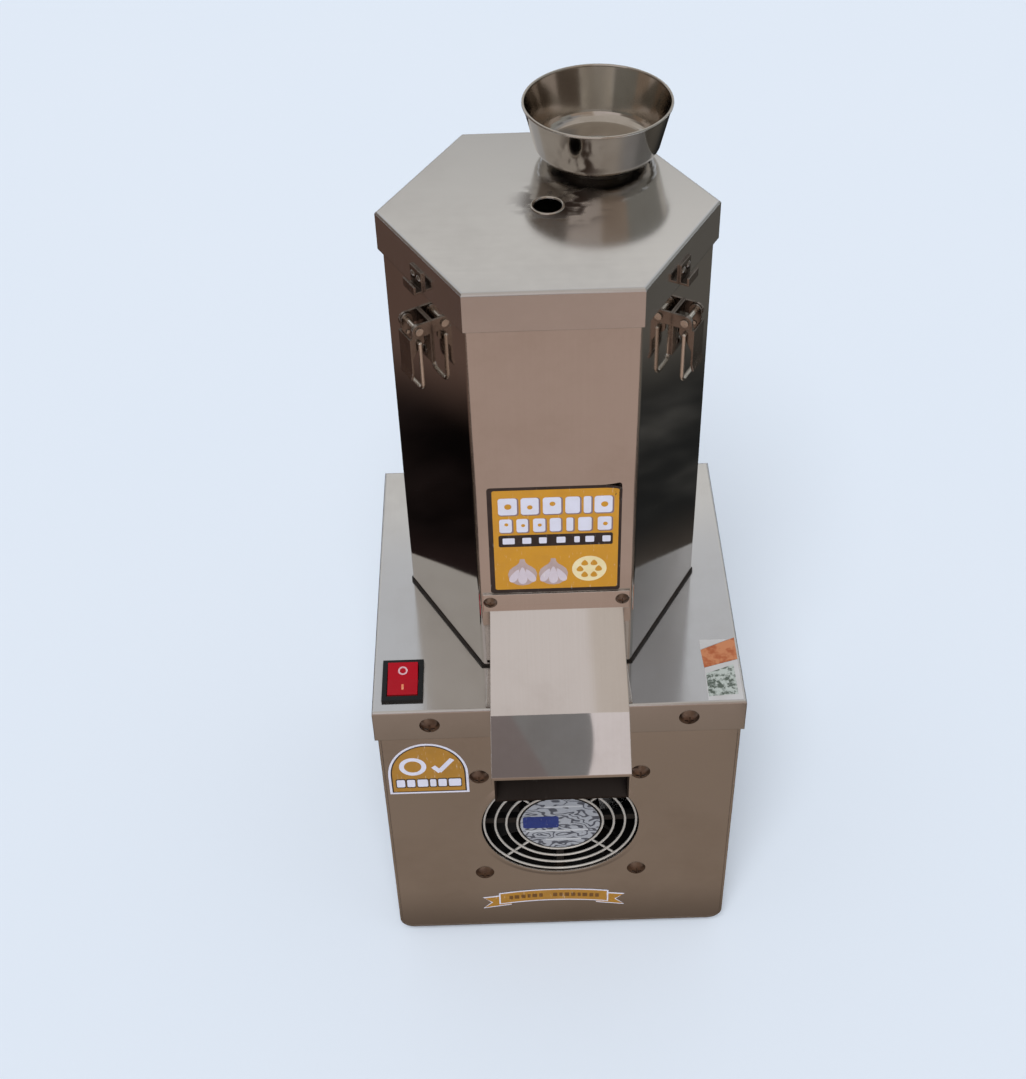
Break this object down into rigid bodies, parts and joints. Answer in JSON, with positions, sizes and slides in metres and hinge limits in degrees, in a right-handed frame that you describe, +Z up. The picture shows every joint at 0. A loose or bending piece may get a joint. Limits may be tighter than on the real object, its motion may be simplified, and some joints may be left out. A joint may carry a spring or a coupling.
{
  "type": "garlic peeling machine",
  "caption": "Table-top garlic peeler: feed bowl on a latched six-sided lid, tower with a finger rotor, covered chute and a winnowing fan in a sheet-steel base box with a rocker switch.",
  "frame": {"origin": "on the ground under the middle of the overall outline", "axes": "+Z up, front with chute and fan towards -Y, +X to the right seen from the front"},
  "size_m": [0.234, 0.2661, 0.564],
  "materials": {
    "sheet_steel": "bright rolled stainless sheet",
    "bowl_steel": "polished spun stainless",
    "chamber_steel": "plain stainless, inside",
    "latch_steel": "plated steel",
    "latch_wire": "bright wire and pins",
    "screw_steel": "dull plated steel with brown tarnish",
    "guard_wire": "bright plated wire",
    "fan_black": "satin black moulding",
    "black_rubber": "matt black rubber",
    "finger_rubber": "matt rubber",
    "switch_black": "glossy black moulding",
    "switch_red": "glossy red moulding",
    "motor_paint": "grey paint",
    "plain_steel": "plain machined steel",
    "rotor_plastic": "pale food grade plastic",
    "capacitor_white": "white can"
  },
  "bodies": {
    "machine": {"base_wrap": "sheet_steel", "front_panel": "sheet_steel", "rear_panel": "sheet_steel", "base_top_cover": "sheet_steel", "tower_shell": "sheet_steel", "chute_tray": "sheet_steel", "chute_cover": "sheet_steel", "chamber_floor": "chamber_steel", "chamber_drum": "chamber_steel", "latch_base_left": "latch_steel", "latch_base_right": "latch_steel", "latch_pin_left": "latch_wire", "latch_pin_right": "latch_wire", "latch_rivets": "latch_wire", "cover_screws": "screw_steel", "foot_screws": "screw_steel", "fan_screws": "screw_steel", "fan_nuts": "screw_steel", "chute_screws": "screw_steel", "tower_bolts": "screw_steel", "tower_nuts": "screw_steel", "bearing_bolts": "screw_steel", "motor_nuts": "screw_steel", "fan_guard": "guard_wire", "fan_frame": "fan_black", "rubber_feet": "black_rubber", "cable_grommet": "black_rubber", "tower_gasket": "black_rubber", "shaft_seal": "black_rubber", "switch_housing": "switch_black", "motor_housing": "motor_paint", "motor_top_bell": "motor_paint", "motor_bottom_bell": "motor_paint", "bearing_housing": "motor_paint", "mount_plate": "plain_steel", "motor_posts": "plain_steel", "shaft_bearing": "plain_steel", "capacitor_clip": "plain_steel", "run_capacitor": "capacitor_white"},
    "lid": {"lid_cap": "sheet_steel", "lid_eyelet": "bowl_steel", "feed_bowl": "bowl_steel", "feed_throat": "chamber_steel", "keeper_left": "latch_steel", "keeper_right": "latch_steel", "keeper_rivets": "latch_wire"},
    "spindle": {"motor_shaft": "plain_steel", "shaft_coupling": "plain_steel", "spindle_shaft": "plain_steel", "rotor_core": "rotor_plastic", "rubber_fingers": "finger_rubber", "rotor_nut": "plain_steel"},
    "fan_rotor": {"fan_impeller": "fan_black"},
    "rocker": {"switch_rocker": "switch_red"},
    "left_lever": {"latch_lever_left": "latch_steel"},
    "right_lever": {"latch_lever_right": "latch_steel"},
    "left_bail": {"latch_bail_left": "latch_wire"},
    "right_bail": {"latch_bail_right": "latch_wire"}
  },
  "joints": [
    {"name": "lid_lift", "type": "slide", "parent": "machine", "child": "lid", "axis": [0, 0, 1], "range_m": [0, 0.06]},
    {"name": "spindle_spin", "type": "hinge", "parent": "machine", "child": "spindle", "pos_m": [0, 0.0182, 0.3], "axis": [0, 0, 1], "continuous": true},
    {"name": "fan_spin", "type": "hinge", "parent": "machine", "child": "fan_rotor", "pos_m": [0, -0.0782, 0.1215], "axis": [0, 1, 0], "continuous": true},
    {"name": "rocker_tilt", "type": "hinge", "parent": "machine", "child": "rocker", "pos_m": [-0.098, -0.0744, 0.241], "axis": [-1, 0, 0], "range_deg": [0, 14]},
    {"name": "left_lever_swing", "type": "hinge", "parent": "machine", "child": "left_lever", "pos_m": [-0.07743, -0.0265, 0.483], "axis": [-0.5, 0.866, 0], "range_deg": [0, 70]},
    {"name": "left_bail_swing", "type": "hinge", "parent": "left_lever", "child": "left_bail", "pos_m": [-0.07743, -0.0265, 0.475], "axis": [-0.5, 0.866, 0], "range_deg": [0, 100]},
    {"name": "right_lever_swing", "type": "hinge", "parent": "machine", "child": "right_lever", "pos_m": [0.07743, -0.0265, 0.483], "axis": [-0.5, -0.866, 0], "range_deg": [0, 70]},
    {"name": "right_bail_swing", "type": "hinge", "parent": "right_lever", "child": "right_bail", "pos_m": [0.07743, -0.0265, 0.475], "axis": [-0.5, -0.866, 0], "range_deg": [0, 100]}
  ]
}
